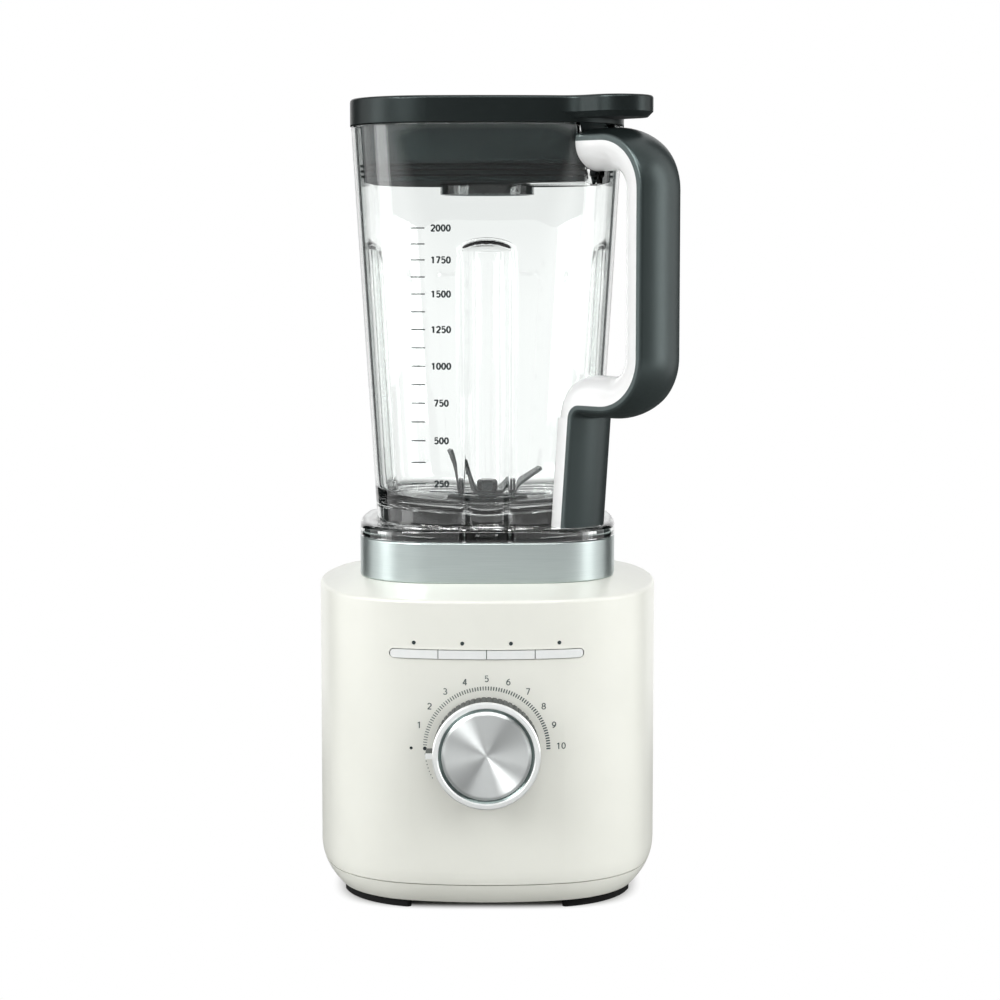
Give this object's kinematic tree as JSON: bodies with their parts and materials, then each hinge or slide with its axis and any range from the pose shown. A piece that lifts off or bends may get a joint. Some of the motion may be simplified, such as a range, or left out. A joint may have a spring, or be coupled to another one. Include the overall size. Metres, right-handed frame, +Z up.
{
  "type": "countertop blender",
  "caption": "Countertop blender with a square tapered jar, a corner handle, a lid with a fill cap, a dial, a row of push buttons and a motor base that drives the blades.",
  "frame": {"origin": "on the motor axis at the table that the feet stand on", "axes": "+Z up along the motor axis, the dial and buttons face -Y, the handle is at the corner between +X and -Y"},
  "size_m": [0.1877, 0.2139, 0.415],
  "materials": {
    "cream_gloss": "glossy moulded shell, warm off-white",
    "satin_metal": "satin brushed band",
    "spun_metal": "spun face with fine rings",
    "silver_gloss": "silver lacquered plastic",
    "dark_grey": "soft matt dark grey",
    "black_rubber": "matt black rubber",
    "clear_plastic": "clear moulded copolyester",
    "steel": "stainless steel",
    "black_plastic": "black moulded nylon",
    "lamination": "stacked sheet steel",
    "copper_wire": "enamelled winding wire",
    "cast_alloy": "die-cast bracket",
    "board_green": "circuit board",
    "carbon": "pressed carbon",
    "light_pipe": "frosted light pipe"
  },
  "bodies": {
    "base": {"bottom_cover": "cream_gloss", "brush_box_left": "black_plastic", "brush_box_right": "black_plastic", "button_switches": "black_plastic", "carbon_brush_left": "carbon", "carbon_brush_right": "carbon", "collar": "satin_metal", "control_board": "board_green", "cord_gland": "black_rubber", "cover_screws": "steel", "field_coil_left": "copper_wire", "field_coil_right": "copper_wire", "foot_front_left": "black_rubber", "foot_front_right": "black_rubber", "foot_rear_left": "black_rubber", "foot_rear_right": "black_rubber", "housing": "cream_gloss", "indicator_lights": "light_pipe", "jar_pad": "black_rubber", "motor_bearing_lower": "steel", "motor_bearing_upper": "steel", "motor_bolts": "steel", "motor_bushes": "black_rubber", "motor_lower_bracket": "cast_alloy", "motor_upper_bracket": "cast_alloy", "power_board": "board_green", "speed_encoder": "black_plastic", "stator": "lamination"},
    "motor": {"motor_shaft": "steel", "armature_core": "lamination", "armature_winding": "copper_wire", "commutator": "copper_wire", "cooling_fan": "black_plastic", "drive_coupler": "black_plastic"},
    "dial": {"dial_skirt": "dark_grey", "dial_ring": "silver_gloss", "dial_cap": "spun_metal", "dial_spindle": "steel"},
    "jar": {"jar": "clear_plastic", "jar_handle": "clear_plastic", "handle_grip": "dark_grey", "blade_gasket": "black_rubber", "blade_housing": "steel", "clamp_nut": "black_plastic", "shaft_seal": "black_rubber", "blade_bearing_lower": "steel", "blade_bearing_upper": "steel"},
    "blade": {"blade_shaft": "steel", "lower_blade": "steel", "upper_blade": "steel", "blade_nut": "steel", "driven_coupler": "black_plastic"},
    "lid": {"lid_cover": "dark_grey", "lid_plug": "dark_grey", "lid_seal": "black_rubber"},
    "cap": {"fill_cap": "clear_plastic"},
    "first_button": {"first_button": "silver_gloss"},
    "second_button": {"second_button": "silver_gloss"},
    "third_button": {"third_button": "silver_gloss"},
    "fourth_button": {"fourth_button": "silver_gloss"}
  },
  "joints": [
    {"name": "motor_spin", "type": "hinge", "parent": "base", "child": "motor", "pos_m": [0, 0, 0.1], "axis": [0, 0, 1], "continuous": true},
    {"name": "dial_turn", "type": "hinge", "parent": "base", "child": "dial", "pos_m": [0, -0.0965, 0.0851], "axis": [0, -1, 0], "range_deg": [-180, 35]},
    {"name": "jar_lift", "type": "slide", "parent": "base", "child": "jar", "axis": [0, 0, 1], "range_m": [0, 0.12]},
    {"name": "blade_spin", "type": "hinge", "parent": "jar", "child": "blade", "pos_m": [0, 0, 0.19], "axis": [0, 0, 1], "continuous": true},
    {"name": "lid_lift", "type": "slide", "parent": "jar", "child": "lid", "axis": [0, 0, 1], "range_m": [0, 0.1]},
    {"name": "cap_lift", "type": "slide", "parent": "lid", "child": "cap", "axis": [0, 0, 1], "range_m": [0, 0.08]},
    {"name": "first_button_press", "type": "slide", "parent": "base", "child": "first_button", "axis": [0, 1, 0], "range_m": [0, 0.0009], "stiffness_N_per_m": 400, "springref_m": -0.001},
    {"name": "second_button_press", "type": "slide", "parent": "base", "child": "second_button", "axis": [0, 1, 0], "range_m": [0, 0.0009], "stiffness_N_per_m": 400, "springref_m": -0.001},
    {"name": "third_button_press", "type": "slide", "parent": "base", "child": "third_button", "axis": [0, 1, 0], "range_m": [0, 0.0009], "stiffness_N_per_m": 400, "springref_m": -0.001},
    {"name": "fourth_button_press", "type": "slide", "parent": "base", "child": "fourth_button", "axis": [0, 1, 0], "range_m": [0, 0.0009], "stiffness_N_per_m": 400, "springref_m": -0.001}
  ],
  "couplings": [
    {"joint": "blade_spin", "follows": "motor_spin", "ratio": 1}
  ]
}
